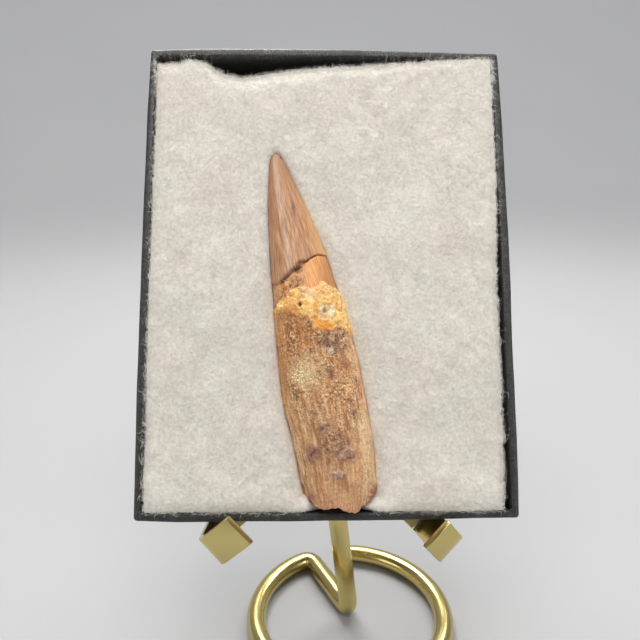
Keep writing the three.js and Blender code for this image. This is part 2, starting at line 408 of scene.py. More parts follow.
route = []
for step in range(RING_STEPS + 1):
    turn = RING_START - RING_SWEEP * step / RING_STEPS
    route.append(RING_CENTRE + RING_RADIUS * Vector((math.cos(turn), math.sin(turn), 0)))
knee = behind_tray(KNEE_X, 0)
hub = behind_tray(HUB_X, HUB_HEIGHT)
stem_top = knee.lerp(hub, STEM_TOP / HUB_HEIGHT)
corners = [route[-1], SPOKE_CORNER, STEM_FOOT, knee, stem_top]
for index, reach in enumerate(BEND_REACHES):
    route += bend_through(*corners[index:index + 3], reach)
route.append(stem_top)

line = bpy.data.curves.new("bent_rod", "CURVE")
line.dimensions = "3D"
line.bevel_depth = ROD_RADIUS
line.bevel_resolution = 8
line.use_fill_caps = True
spline = line.splines.new("POLY")
spline.points.add(len(route) - 1)
for point, place in zip(spline.points, route):
    point.co = (*place, 1)
rod = bpy.data.objects.new("bent_rod", line)
bpy.context.collection.objects.link(rod)
only(rod)
bpy.ops.object.convert(target="MESH")
edit_all()
bpy.ops.mesh.remove_doubles(threshold=0.001)
bpy.ops.mesh.normals_make_consistent(inside=False)
caps = pick("faces", lambda face: len(face.verts) > 4)
bpy.ops.mesh.region_to_loop()
bpy.ops.mesh.bevel(offset=CUT_EDGE, segments=3)
smooth_below(50)
dress(rod, UPRIGHT_PLACE, brass, ["stand_rod"])
length = sum((b - a).length for a, b in zip(route, route[1:]))
print("rod is", round(length), "mm long, with", caps, "cut ends")

# %% [markdown]
# Two strips of brass sheet leave the stem, run down and out behind the tray, bend forwards under
# it, and bend up again as small square lips in front. A strip could be bent with a Simple Deform
# modifier, but four corners of different directions are easier to follow by extruding: a flat sheet
# starts as one edge, which is extruded from station to station, and then gets its thickness.

# %% Arms
ARM_WIDTH = 7.2
EASED = 0.22
ARM_SETBACK = TRAY_DEPTH + GAP + ARM_THICKNESS / 2


def strip_stations(side, stops, steps=8):
    """Middle points and width directions along a strip that bends at each inner stop."""
    stations = []
    for index, (place, reach, slope) in enumerate(stops):
        turn = math.radians(slope)
        across = Vector((side * math.sin(turn), 0, math.cos(turn)))
        at = Vector(place)
        if not reach:
            stations.append((at, across))
            continue
        before, after = [Vector(stops[index + way][0]) for way in (-1, 1)]
        bend = bend_through(before, at, after, reach, steps)
        stations += [(point, across) for point in bend]
    return stations


def modify(piece, kind, **settings):
    """Add a modifier to the active piece, set it, and apply it."""
    added = piece.modifiers.new(kind, kind)
    for key, value in settings.items():
        setattr(added, key, value)
    bpy.ops.object.modifier_apply(modifier=added.name)


def make_arm(name, side, stops, node):
    """Extrude one strip from station to station, thicken it and ease its edges."""
    stations = strip_stations(side, stops)
    bpy.ops.mesh.primitive_plane_add(size=ARM_WIDTH)
    arm = newest(name)
    bpy.ops.object.mode_set(mode="EDIT")
    pick("verts", lambda vert: vert.co.y > 0)
    bpy.ops.mesh.delete(type="VERT")
    bpy.ops.mesh.select_all(action="SELECT")
    for index, (place, across) in enumerate(stations):
        if index:
            bpy.ops.mesh.extrude_edges_move()
        shape = bmesh.from_edit_mesh(arm.data)
        before = stations[max(index - 1, 0)]
        along = stations[min(index + 1, len(stations) - 1)][0] - before[0]
        chosen = [vert for vert in shape.verts if vert.select]
        chosen.sort(key=lambda vert: vert.co @ before[1])
        for vert, half in zip(chosen, (-0.5, 0.5)):
            # The upper end is cut upright, so that the two strips meet along the stem
            slide = -half * ARM_WIDTH * across.x / along.x if index == 0 else 0
            vert.co = place + across * half * ARM_WIDTH + along * slide
        bmesh.update_edit_mesh(arm.data)
    bpy.ops.object.mode_set(mode="OBJECT")
    only(arm)
    modify(arm, "SOLIDIFY", thickness=ARM_THICKNESS, offset=0, use_even_offset=True)
    edit_all()
    close_skin()
    modify(arm, "BEVEL", width=EASED, segments=2, limit_method="ANGLE", angle_limit=math.radians(50))
    smooth_below(35)
    dress(arm, TRAY_PLACE, brass, [node])


make_arm("left_strip", -1, [
    ((HUB_X - GAP / 2, ARM_SETBACK, HUB_HEIGHT), 0, 38.5),
    ((-25.1, ARM_SETBACK, -3.7), 2.4, 38.5),
    ((-24.4, -1.5, -6.2), 2.6, 44.5),
    ((-17.9, -6.7, -0.9), 0, 44.5)], "left_arm")
make_arm("right_strip", 1, [
    ((HUB_X + GAP / 2, ARM_SETBACK, HUB_HEIGHT), 0, 44.5),
    ((24.7, ARM_SETBACK, -3.7), 2.4, 44.5),
    ((26.2, -1.5, -6.2), 2.6, 44.5),
    ((22.3, -5.7, -2.2), 0, 44.5)], "right_arm")

# %% [markdown]
# The strips are brazed to the stem, which leaves a bead of brass in the corner on each side. It is
# hidden in the photo, so it is kept plain: a ball drawn out to a spindle, then made uneven at a few
# listed heights.

# %% Braze
BEAD_SIZE = (1.0, 0.9, 4.4)
# Heights where a bead is a little thicker or thinner, and by what share
BEAD_WAISTS = ((-2.6, 0.16), (-0.6, -0.12), (1.7, 0.14))
BEAD_ASIDE = 1.9
BEAD_BEHIND = 0.8
BEAD_BELOW = 0.6


def make_bead(name, side):
    """One bead, beside the stem on the given side."""
    bpy.ops.mesh.primitive_uv_sphere_add(segments=28, ring_count=20, radius=1)
    bead = newest(name)
    edit_all()
    bpy.ops.transform.resize(value=BEAD_SIZE)
    for height, shift in BEAD_WAISTS:
        pick("verts", lambda vert: abs(vert.co.z - height) < 0.5)
        bpy.ops.transform.resize(value=(1 + shift, 1 + shift, 1), center_override=(0, 0, height))
    bpy.ops.mesh.select_all(action="SELECT")
    bpy.ops.transform.translate(
        value=(HUB_X + side * BEAD_ASIDE, ARM_SETBACK + BEAD_BEHIND, HUB_HEIGHT - BEAD_BELOW))
    bpy.ops.object.mode_set(mode="OBJECT")
    bpy.ops.object.shade_smooth()
    dress(bead, TRAY_PLACE, brass)


make_bead("left_braze", -1)
make_bead("right_braze", 1)

# %% [markdown]
# Nothing hand-made or grown is quite even, so most of what follows needs noise. It is worked out
# for all of a mesh's points at once, because a call for each of them would be slow.

# %% Noise on many points
def scatter(i, j, k):
    """A repeatable random number from -1 to 1 for each corner of a grid."""
    wave = np.sin(i * 127.1 + j * 311.7 + k * 74.7) * 43758.5453
    return 2 * (wave - np.floor(wave)) - 1


TILTED = np.array(Matrix.Rotation(0.9, 3, Vector((0.36, 0.48, 0.8))))


def cloud(points, size):
    """Smooth noise from -1 to 1 at many points at once, with lumps of about a given size."""
    scaled = points @ TILTED / size
    cell = np.floor(scaled)
    part = scaled - cell
    part = part * part * (3 - 2 * part)
    total = np.zeros(len(points))
    for corner in np.ndindex(2, 2, 2):
        weight = np.prod(np.where(corner, part, 1 - part), axis=1)
        total += weight * scatter(*(cell + corner).T)
    return total


def smooth(value, low, high):
    """From 0 at low to 1 at high, with a soft start and end."""
    t = np.clip((value - low) / (high - low), 0, 1)
    return t * t * (3 - 2 * t)


def fade(value, low, high):
    """From 1 at low to 0 at high, the other way round."""
    return 1 - smooth(value, low, high)


def get_points(piece):
    """All of a mesh's points, one a row."""
    points = np.zeros(len(piece.data.vertices) * 3)
    piece.data.vertices.foreach_get("co", points)
    return points.reshape(-1, 3)


def set_points(piece, points):
    """Move a mesh's points, given one a row."""
    piece.data.vertices.foreach_set("co", points.ravel())
    piece.data.update()


# %% [markdown]
# Outlines are read off the photo as a few stops each. A smooth line through them works like a
# Bezier curve, but it can be asked for its value at any place.

# %% A smooth line through given stops
def profile(*stops):
    """A smooth line through given (place, value) stops, as a function of place."""
    stops = np.array(stops, float)
    count = len(stops)
    fine = np.linspace(0, count - 1, 12 * count + 1)
    left = np.minimum(fine.astype(int), count - 2)
    t = (fine - left)[:, None]
    p0, p1, p2, p3 = [stops[np.clip(left + shift, 0, count - 1)] for shift in (-1, 0, 1, 2)]
    p3[left == count - 2] = stops[-1]
    v0, v1 = (p2 - p0) / 2, (p3 - p1) / 2
    curve = (2 * p1 - 2 * p2 + v0 + v1) * t ** 3 + (3 * p2 - 3 * p1 - 2 * v0 - v1) * t ** 2 + v0 * t + p1
    return lambda at: np.interp(at, curve[:, 0], curve[:, 1])


# %% [markdown]
# The tray is a shallow card box covered in black paper with a fine leather grain. A card box is
# flat walls with soft edges, so it starts as a block: the upright corners are rounded, the open
# side is inset by the card's thickness, and the inner face is pushed back. The whole is then cut
# into small panels, because hand-covered card is never quite flat: its walls bow out a little and
# waver, and its rim isn't quite straight.

# %% Tray
TRAY_WIDTH = 82.55
TRAY_HEIGHT = 107.95
CARD = 1.5
PANEL = 3.0
TRAY_CORNER = 0.8
OUTER_RIM = 0.75
INNER_RIM = 0.25
BACK_EDGE = 0.5
WALL_ZONE = (38.3, 41.2)


def start_block(name, size, depth_at, corner):
    """A block in the tray's middle with rounded corners, seen from the front, left open for editing."""
    bpy.ops.mesh.primitive_cube_add(size=1, location=(0, depth_at, TRAY_HEIGHT / 2))
    block = newest(name)
    block.scale = size
    bpy.ops.object.transform_apply()
    bpy.ops.object.mode_set(mode="EDIT")
    pick("edges", lambda edge: abs((edge.verts[0].co - edge.verts[1].co).y) > 0.1)
    bpy.ops.mesh.bevel(offset=corner, segments=4)
    return block


tray = start_block("covered_tray", (TRAY_WIDTH, TRAY_DEPTH, TRAY_HEIGHT), TRAY_DEPTH / 2, TRAY_CORNER)
pick("faces", lambda face: face.normal.y < -0.9)
bpy.ops.mesh.inset(thickness=CARD)
bpy.ops.mesh.extrude_region_move(TRANSFORM_OT_translate={"value": (0, TRAY_DEPTH - CARD, 0)})
TRAY_MIDDLE = Vector((0, 0, TRAY_HEIGHT / 2))


def on_rim(edge, outer):
    """Whether an edge belongs to the open rim, on its outer or its inner side."""
    if any(vert.co.y > 0.01 for vert in edge.verts):
        return False
    walls = [face for face in edge.link_faces if abs(face.normal.y) < 0.5]
    return bool(walls) and (walls[0].normal.dot(edge.verts[0].co - TRAY_MIDDLE) > 0) == outer


pick("edges", lambda edge: on_rim(edge, True))
bpy.ops.mesh.bevel(offset=OUTER_RIM, segments=4)
pick("edges", lambda edge: on_rim(edge, False))
bpy.ops.mesh.bevel(offset=INNER_RIM, segments=2)
pick("edges", lambda edge: min(vert.co.y for vert in edge.verts) > TRAY_DEPTH - 0.01)
bpy.ops.mesh.bevel(offset=BACK_EDGE, segments=3)
for axis, reach in ((0, TRAY_WIDTH), (2, TRAY_HEIGHT), (1, TRAY_DEPTH)):
    cuts = int(reach / PANEL)
    normal = [float(axis == way) for way in range(3)]
    for cut in range(1, cuts):
        at = Vector(normal) * (reach * cut / cuts - (reach / 2 if axis == 0 else 0))
        bpy.ops.mesh.select_all(action="SELECT")
        bpy.ops.mesh.bisect(plane_co=at, plane_no=normal)
bpy.ops.object.mode_set(mode="OBJECT")

# How far each wall bulges at its open edge, in millimetres along it
bulge_right = profile(
    (0, 0.35), (3, 0.4), (9, 0.55), (22, 0.7), (36, 0.75), (50, 0.95), (64, 1.0), (78, 0.9), (92, 0.8),
    (104, 0.6), (108, 0.4))
bulge_left = profile(
    (0, 0.1), (9, 0.25), (22, 0.35), (36, 0.45), (50, 0.55), (64, 0.55), (78, 0.45), (92, 0.4), (108, 0.0))
bulge_top = profile(
    (-41, 0.5), (-35, 0.75), (-24, 1.0), (-10, 1.1), (5, 0.95), (18, 0.7), (32, 0.3), (41, 0.2))
bulge_bottom = profile(
    (-41, 0.1), (-31, 0.4), (-16, 0.4), (-5, 0.5), (9, 0.5), (20, 0.3), (34, 0.15), (41, 0.1))

points = get_points(tray)
x, y, z = points.T
open_side = fade(y, 1, TRAY_DEPTH)
waver = (0.1 * cloud(points, 17) + 0.05 * cloud(points, 5)) * open_side
to_left, to_right = smooth(-x, *WALL_ZONE), smooth(x, *WALL_ZONE)
to_foot, to_top = smooth(-z, -3, -0.1), smooth(z, TRAY_HEIGHT - 3, TRAY_HEIGHT - 0.1)
for way, along, ends in (
        (0, z, ((to_right, bulge_right), (to_left, bulge_left))),
        (2, x, ((to_top, bulge_top), (to_foot, bulge_bottom)))):
    outward, back = [near * (bulge(along) * open_side + waver) for near, bulge in ends]
    points[:, way] += outward - back
points[:, 1] += 0.08 * cloud(points + 40, 9) * fade(y, 0, 3)
set_points(tray, points)

# %% [markdown]
# The paper is black and slightly shiny. Its leather grain is far finer than any mesh should be, so
# the grain is bump, while the bow of the walls and the glued back sheet are real shape. Where hands
# and shelves rub it, along the rim and corners, the grain's tops have gone grey. Along the rim this
# grey also grows towards the top, and that part is painted sheen from light above. Both are stored
# on the mesh as one attribute, worked out from how near each point is to an outer edge and how high.

# %% Grained black paper
PAPER_BLACK = (0.022, 0.022, 0.022, 1)
PAPER_WORN_AND_SHEEN = (0.24, 0.24, 0.23, 1)


def store(piece, name, values):
    """Keep one number a point on a mesh, for its material to read."""
    attribute = piece.data.attributes.new(name, "FLOAT", "POINT")
    attribute.data.foreach_set("value", values.astype(np.float32))


from_side = TRAY_WIDTH / 2 - np.abs(x)
from_end = TRAY_HEIGHT / 2 - np.abs(z - TRAY_HEIGHT / 2)
to_corner = np.hypot(np.maximum(from_side, 0), np.maximum(from_end, 0))
# Grey from rubbing along the rim and corners; along the rim it grows towards the top, which is painted
# sheen.
wear_and_sheen = fade(y, 0.1, 0.7) * (0.45 + 0.55 * smooth(z, 20, 100))
wear_and_sheen = np.maximum(wear_and_sheen, 0.9 * fade(to_corner, 0.8, 2.2))
store(tray, "wear_and_sheen", wear_and_sheen * (0.7 + 0.3 * cloud(points, 6)))


def make_paper():
    """Black grained paper, grey where it is worn, and lighter on the upper rim as painted sheen."""
    material, tree, shader = new_material("grained_black_paper")
    place = object_place(tree)
    grain = place_group(tree, pebbles, Vector=place, Scale=2600.0)
    sheen_and_wear = add_node(tree, "ShaderNodeAttribute", attribute_name="wear_and_sheen").outputs["Fac"]
    dust = mottled(tree, 420.0, 0.0, 1.0)
    tops = arithmetic(tree, "MULTIPLY", grain["Height"], sheen_and_wear)
    colour = blend_colours(tree, arithmetic(tree, "MULTIPLY", tops, dust), PAPER_BLACK, PAPER_WORN_AND_SHEEN)
    rough = mottled(tree, 700.0, 0.28, 0.44)
    finish_shader(tree, shader, colour, rough, (0.7, 0.00007, grain["Height"]))
    return material


paper = make_paper()
only(tray)
smooth_below(35)
dress(tray, TRAY_PLACE, paper, ["tray"])

# %% [markdown]
# A covered box is often finished with a plain sheet glued over the folds on its back. The photo
# hides the back, so this is a guess. It is a thin block that starts inside the card and stands
# proud of it by the paper's thickness.

# %% Back sheet
SHEET_BORDER = 2.6
SHEET_PROUD = 0.14
SHEET_CORNER = 1.2
SHEET_EDGE = 0.05
SHEET_SIZE = (TRAY_WIDTH - 2 * SHEET_BORDER, 0.2 + SHEET_PROUD, TRAY_HEIGHT - 2 * SHEET_BORDER)

sheet = start_block("back_sheet", SHEET_SIZE, TRAY_DEPTH - 0.1 + SHEET_PROUD / 2, SHEET_CORNER)
pick("edges", lambda edge: min(vert.co.y for vert in edge.verts) > TRAY_DEPTH)
bpy.ops.mesh.bevel(offset=SHEET_EDGE, segments=2)
smooth_below(35)
dress(sheet, TRAY_PLACE, paper)

# %% [markdown]
# The tooth is what all of this is for. It is a long cone, oval through, slightly bent, with a
# smooth enamel crown above and a rough root below, broken off at its end. A cone primitive with
# proportional edits would take many passes. Instead one flat grid is wrapped round: across it runs
# once around the tooth, and along it runs from the middle of the broken end, up the side, to the
# tip. Every point then knows where it is, so that relief and colour can be laid on by place.

# %% Tooth form
TOOTH_AROUND = 216
TOOTH_ALONG = 430
END_ROWS = 22
TIP_ROWS = 9
TOOTH_BASE = 2.0
TOOTH_SHOULDER = 82.0
TOOTH_TIP = 82.3
TOOTH_SINK = 2.2

tooth_left = profile(
    (0, -4.2), (8, -5.8), (16, -7.4), (25, -9.6), (37, -11.0), (48, -11.9), (60, -12.7), (70, -13.1),
    (78, -12.9), (80.1, -12.75), (81.4, -12.4), (82.1, -12.0), (83, -11.4))
tooth_right = profile(
    (0, 9.4), (6, 10.7), (14, 10.5), (22, 9.4), (33, 7.5), (42, 5.15), (51, 2.4), (60, -0.5),
    (70, -4.7), (78, -8.4), (80.1, -9.35), (81.4, -10.2), (82.1, -10.75), (83, -11.4))
tooth_half_depth = profile(
    (0, 5.6), (6, 6.6), (18, 7.3), (32, 7.3), (46, 6.7), (58, 5.6), (70, 3.9), (78, 2.2), (82, 0.9),
    (83, 0.35))
broken_edge = profile(
    (-9, 5.4), (-4.5, 4.8), (-3.2, 3.4), (-1.2, 2.2), (2.3, 2.8), (5.5, 1.5), (7.7, 2.8), (9.3, 4.4),
    (12, 5))

bpy.ops.mesh.primitive_grid_add(x_subdivisions=TOOTH_AROUND, y_subdivisions=TOOTH_ALONG, size=1)
tooth = newest("fossil_tooth")
flat_grid = get_points(tooth)
turn = (flat_grid[:, 0] + 0.5) * 2 * math.pi
row = np.rint((flat_grid[:, 1] + 0.5) * TOOTH_ALONG)
side_rows = TOOTH_ALONG - END_ROWS - TIP_ROWS
reach = np.clip(row / END_ROWS, 0, 1)
over_tip = np.clip((row - (TOOTH_ALONG - TIP_ROWS)) / TIP_ROWS, 0, 1) * math.pi / 2
height = TOOTH_BASE + (TOOTH_SHOULDER - TOOTH_BASE) * np.clip((row - END_ROWS) / side_rows, 0, 1)
height += (TOOTH_TIP - TOOTH_SHOULDER) * np.sin(over_tip)
half_width = (tooth_right(height) - tooth_left(height)) / 2 * reach * np.cos(over_tip)
half_depth = tooth_half_depth(height) * reach * np.cos(over_tip)
middle = (tooth_right(height) + tooth_left(height)) / 2

# Turn 0 is at the back, where the seam is hidden, and half a turn is the front
out_x, out_y = np.sin(turn), np.cos(turn)
x = middle + half_width * out_x
y = TOOTH_SINK * (1 - height / TRAY_HEIGHT) + half_depth * out_y
z = height
near_end = fade(height, TOOTH_BASE, TOOTH_BASE + 7)
section = np.c_[x, y, 0 * x]
edge_line = np.where(out_y < 0, broken_edge(x), 3.4 + 0.8 * cloud(section, 2.5))
edge_line += reach ** 2 * (0.45 * cloud(section + 7, 1.6) + 0.3 * cloud(section, 0.7))
end_dome = (1 - reach) * (1.2 + 0.5 * cloud(section, 2.2))
z = z + near_end * (edge_line - TOOTH_BASE) + end_dome
front = smooth(-out_y, -0.15, 0.3)
print("tooth is", round(z.max() - z.min(), 1), "mm long and", round(2 * half_width.max(), 1), "mm wide")

# %% [markdown]
# Relief comes next, in real geometry. The enamel has faint lengthwise flutes. A crack runs up to
# the right across its foot, crumbled where it is widest. Below lies a wavy-edged band of matrix,
# the stone the tooth was found in, standing a little proud, and under that the root, which is
# gritty above and turns to long fibrous grain towards the broken end. Each is a mask from 0 to 1
# with a soft or ragged edge, times a depth in millimetres.

# %% Tooth relief
crack_line = profile(
    (-14, 51.6), (-12.5, 51.7), (-10.1, 51.2), (-7.5, 53.4), (-5.5, 54.8), (-2.85, 56.7), (-1, 57.4),
    (1, 57.8), (9, 58.6))
crack_width = profile(
    (-14, 0.02), (-11, 0.05), (-9.6, 0.25), (-8, 0.5), (-6.6, 0.75), (-5.2, 0.6), (-4.2, 0.26),
    (-1, 0.14), (3, 0.08), (9, 0.05))
band_top = profile(
    (-14, 44.6), (-11.1, 45.9), (-9.6, 47.4), (-8.3, 48.5), (-6.2, 49.6), (-4.8, 49.9), (-3.3, 49.2),
    (-2.0, 49.6), (-1.1, 50.7), (0.1, 50.7), (1.1, 49.8), (2.3, 50.1), (3.5, 49.3), (9, 49))
band_foot = profile(
    (-14, 42.6), (-11.1, 43.4), (-8.6, 44.1), (-6.4, 43.3), (-4.4, 42.6), (-3.3, 41.8), (-2.7, 40.1),
    (-1, 39.7), (1.2, 39.9), (2.5, 41.2), (4.1, 39.9), (5.9, 39.6), (9, 39))

place = np.c_[x, y, z]
grains = cloud(place, 0.36)
fine = cloud(place, 0.55)
coarse = cloud(place, 1.3)
lumpy = cloud(place, 3.2)
# Rounded lumps with sharp creases between them, as weathered rock has
billows = np.abs(cloud(place + 11, 2.1)) + 0.4 * np.abs(cloud(place + 5, 0.9))


def blot(at_x, at_z, wide, tall, soft=0.5, turn=0, corners=2, ragged=1):
    """A patch on the tooth's front, 1 inside and 0 outside: ragged and round, or sharp and square."""
    along_x, along_z = x - at_x, z - at_z
    c, s = math.cos(math.radians(turn)), math.sin(math.radians(turn))
    over_u = np.abs(c * along_x + s * along_z) / wide
    over_v = np.abs(c * along_z - s * along_x) / tall
    away = (over_u ** corners + over_v ** corners) ** (1 / corners)
    away += ragged * (0.22 * coarse + 0.16 * fine + 0.08 * grains)
    return fade(away, 1 - soft, 1) * front


from_crack = np.abs(z - crack_line(x) + (0.45 * coarse + 0.25 * fine) * (1 - 0.75 * smooth(x, -4, -0.5)))
crack = fade(from_crack, 0.3 * crack_width(x), 1.5 * crack_width(x))
above_crack = smooth(z - crack_line(x), -0.3, 0.3)
wavy_top = band_top(x) + 0.3 * coarse + 0.2 * fine
wavy_foot = band_foot(x) + 0.6 * coarse + 0.45 * fine + 0.3 * grains
band = smooth(z, wavy_foot - 0.8, wavy_foot + 0.6) * fade(z, wavy_top - 0.25, wavy_top + 0.25)
root = fade(z, wavy_foot - 0.2, wavy_foot + 0.6)
enamel = (1 - band) * (1 - root)
crumbled = enamel * (1 - above_crack) * fade(x + 0.8 * coarse, -6.0, -3.5)
fibrous = root * fade(z + 4 * lumpy, 12, 30)
rough_patch = blot(1.2, 16.8, 4.8, 4.6, 0.8)
gritty = np.maximum(root * (1 - 0.75 * fibrous) + 0.6 * crumbled, rough_patch)



def lengthwise(longer, size, shift=0, across=1):
    """Noise drawn out along the tooth, so that it makes lines."""
    return cloud(np.c_[7 * out_x * across, 7 * out_y * across, z / longer + shift], size)


flutes = lengthwise(14, 1.1)
hair_lines = lengthwise(26, 0.42)
grain_lines = lengthwise(9, 0.5, shift=3, across=1.1)
short_lines = lengthwise(8, 0.3, shift=9)
knobs = np.maximum.reduce([blot(*knob) for knob in (
    (-3.2, 14.4, 2.0, 2.4), (3.9, 14.0, 3.2, 1.9), (2.2, 9.8, 1.7, 1.0), (-0.5, 19.4, 1.2, 1.4))])
white_patch = blot(0.05, 44.2, 1.75, 1.95, 0.35, turn=-8, corners=5)
white_facet = blot(1.0, 44.3, 0.7, 1.6, 0.5, turn=-16, corners=4, ragged=0.7)
patch_pit = blot(-0.45, 44.5, 0.45, 0.9, 0.6, ragged=0.7)
dark_hole = blot(-5.7, 45.8, 0.65, 0.8, 0.8)
flake = smooth(z, 4.2, 4.7) * fade(z, 5.2, 8.8) * smooth(out_x + 0.06 * fine, 0.76, 0.88)

rise = enamel * above_crack * (0.10 * flutes + 0.04 * hair_lines + 0.12)
rise += enamel * (1 - above_crack) * (0.03 * hair_lines - 0.05)
band_form = 0.16 - 0.3 * smooth(-out_x, 0.85, 1) + 0.75 * np.minimum(billows, 0.6)
rise += band * (band_form + 0.12 * fine + 0.1 * grains)
rise += gritty * (0.16 * coarse + 0.1 * (0.5 - np.abs(fine)) + 0.14 * grains + 0.14 * lumpy - 0.08)
rise += root * 0.1 * grain_lines + fibrous * (0.1 * grain_lines + 0.08 * coarse + 0.06 * grains)
rise += knobs * (0.15 + 0.55 * billows) + 0.65 * flake * (1 + 0.3 * fine + 0.3 * coarse)
rise -= 0.75 * crack + 0.3 * white_patch - 0.3 * white_facet + 0.45 * patch_pit + 0.8 * dark_hole
rise -= 0.35 * crumbled * smooth(coarse, -0.1, 0.5)
steep = reach * np.cos(over_tip)
points = np.c_[x + rise * steep * out_x, y + rise * steep * out_y, z + (1 - reach) * 0.3 * fine]
set_points(tooth, points)

# %% [markdown]
# Colour follows the same masks. It is painted on as a colour attribute, a wash for each region and
# then smaller stains, each with a ragged edge, so the material can lay its finer grain over it. A few
# washes are painted light and shade instead: a pale highlight streak on the crown, shade on its
# upper left side, and a shadow line along its lower left edge. An image texture would need an
# unwrapped map, and here place on the tooth already says enough.

# %% Tooth colours
ground = np.tile(srgb(176, 124, 88), (len(x), 1))


def wash(mask, colour, strength=1.0):
    """Lay a colour over the ground where a mask says so."""
    ground[:] += (srgb(*colour) - ground) * np.clip(mask * strength, 0, 1)[:, None]


crown = enamel * above_crack
wash(crown, (192, 140, 101))
# Painted shade, in part: the crown's upper left side is darker, partly its own mauve-brown and partly shade
# for that side getting less light.
wash(crown * smooth(out_x, -0.5, -1.0) * smooth(z, 56, 66), (160, 114, 88), 0.7)
wash(crown * smooth(out_x, -0.5, -1.0) * fade(z, 56, 66), (204, 156, 114), 0.7)
wash(crown * smooth(out_x, 0.2, 0.8), (210, 158, 118), 0.8)
wash(crown * smooth(out_x, 0.3, 0.95) * fade(z, 60, 74), (238, 180, 122), 0.8)
wash(crown * smooth(z, 66, 80), (182, 132, 98), 0.7)
# Painted highlight: a pale streak just left of the crown's middle, standing in for a lamp's reflection.
highlight_line = profile((52, -7.8), (55.5, -8.2), (62.9, -9.1), (70.2, -10.4), (77.8, -11.3), (83, -11.4))
off_highlight = np.abs(x - highlight_line(z)) + 0.35 * short_lines
wash(crown * fade(off_highlight, 0.1, 1.1) * front, (216, 186, 166), 0.6)
wash(crown * blot(-7.4, 67.6, 0.9, 2.6, 0.8), (118, 80, 62), 0.6)
lined = crown * (0.35 + 0.65 * smooth(76 - z, 0, 12))
wash(lined * smooth(hair_lines, 0.1, 0.7), (134, 92, 64), 0.4)
wash(lined * smooth(-hair_lines, 0.2, 0.8), (222, 178, 132), 0.35)
wash(lined * smooth(short_lines, 0.15, 0.7), (134, 92, 66), 0.5)
wash(lined * smooth(-short_lines, 0.2, 0.7), (230, 188, 140), 0.45)
wash(crown * smooth(out_x, 0.86, 0.97) * fade(z, 70, 78), (234, 180, 106), 0.6)
# Painted shadow: a dark line along the crown's lower left edge, where it sinks into the fill.
wash(smooth(-out_x, 0.93, 0.98) * smooth(z, 52, 54) * fade(z, 59, 61), (72, 50, 42), 0.75)
wash(blot(-10.2, 81.2, 0.4, 0.35, 0.6), (86, 66, 54), 0.8)
below = enamel * (1 - above_crack)
wash(below * smooth(x, -7, -4), (242, 174, 114))
wash(below * smooth(x, -2.5, 0.5), (206, 142, 86), 0.85)
wash(crumbled, (218, 160, 108), 0.9)
wash(crumbled * smooth(coarse, 0, 0.5), (246, 190, 128), 0.7)
wash(crumbled * smooth(-fine, 0.2, 0.7), (118, 78, 56), 0.6)
wash(blot(-8.9, 49.9, 0.7, 0.8), (222, 124, 58), 0.9)
wash(blot(-8.0, 50.2, 0.4, 0.6), (122, 50, 36), 0.9)
wash(below * smooth(out_x, -0.8, -0.98), (206, 158, 120), 0.8)
wash(below * smooth(short_lines + 0.5 * hair_lines, 0.2, 0.8) * fade(x, -8, -5), (112, 78, 60), 0.6)

wash(band, (255, 204, 118))
wash(band * smooth(fine + 0.6 * coarse, 0.1, 0.7), (255, 222, 164), 0.6)
wash(band * smooth(-fine - 0.6 * lumpy, 0.1, 0.8), (232, 156, 90), 0.6)
wash(band * blot(-4.1, 48.4, 2.6, 1.8), (243, 204, 152), 0.9)
wash(band * blot(0.3, 49.2, 2.8, 1.5), (240, 192, 130), 0.9)
wash(band * blot(-7.6, 45.0, 2.2, 1.7), (226, 156, 78), 0.7)
wash(band * blot(3.4, 43.5, 1.5, 4.5), (252, 202, 118), 0.7)
wash(band * smooth(-coarse, 0.1, 0.6), (208, 140, 74), 0.5)
wash(band * fade(billows, 0.03, 0.25), (184, 112, 56), 0.55)
wash(band * fade(z - wavy_foot, 0.2, 1.6) * fade(x, 2, 4), (196, 124, 66), 0.5)
wash(band * smooth(grains, 0.2, 0.7), (255, 232, 190), 0.5)
wash(band * smooth(-grains, 0.3, 0.8), (186, 122, 70), 0.5)
wash(blot(-0.8, 41.2, 2.4, 1.5), (236, 152, 62), 0.9)
wash(blot(-1.0, 41.5, 1.0, 0.7), (242, 178, 96), 0.7)
wash(blot(-0.8, 39.9, 2.4, 0.5), (132, 74, 42), 0.8)
wash(white_patch, (232, 196, 150), 0.9)
wash(white_facet, (248, 230, 196), 0.95)
wash(blot(-1.2, 44.9, 0.5, 1.0, 0.6), (246, 226, 196), 0.9)
wash(patch_pit, (150, 126, 100), 0.85)
wash(dark_hole, (110, 66, 34), 0.95)

wash(root, (214, 158, 108))
wash(root * smooth(lumpy, 0, 0.5), (200, 162, 130), 0.5)
wash(root * fade(np.abs(out_x + 0.1), 0.15, 0.6), (186, 138, 98), 0.6)
plain_side = smooth(np.abs(out_x) + 0.08 * coarse, 0.72, 0.92)
wash(root * plain_side, (248, 204, 156), 0.65)
wash(blot(0.6, 14.5, 5.2, 6.0, 0.9), (146, 96, 66), 0.75)
wash(blot(-3.2, 18, 2.0, 9.0, 0.9), (168, 132, 92), 0.5)
wash(root * smooth(z, 20, 30) * smooth(x, 4, -6), (192, 128, 72), 0.7)
wash(blot(0.4, 37.8, 4.8, 2.8, 0.9), (104, 74, 66), 0.8)
wash(blot(2.5, 36.2, 3.6, 2.6, 0.9), (140, 112, 98), 0.6)
wash(blot(0.9, 35.7, 1.1, 0.8), (226, 208, 190), 0.7)
wash(blot(-4.4, 31.2, 5.4, 6.2, 0.9), (232, 200, 154), 0.85)
wash(blot(-5.8, 30.2, 2.4, 2.4, 0.8), (240, 218, 168), 0.7)
wash(blot(3.5, 32.9, 2.4, 2.4, 0.8), (176, 108, 74), 0.7)
wash(blot(0.9, 30.9, 1.4, 1.8, 0.7), (118, 74, 66), 0.75)
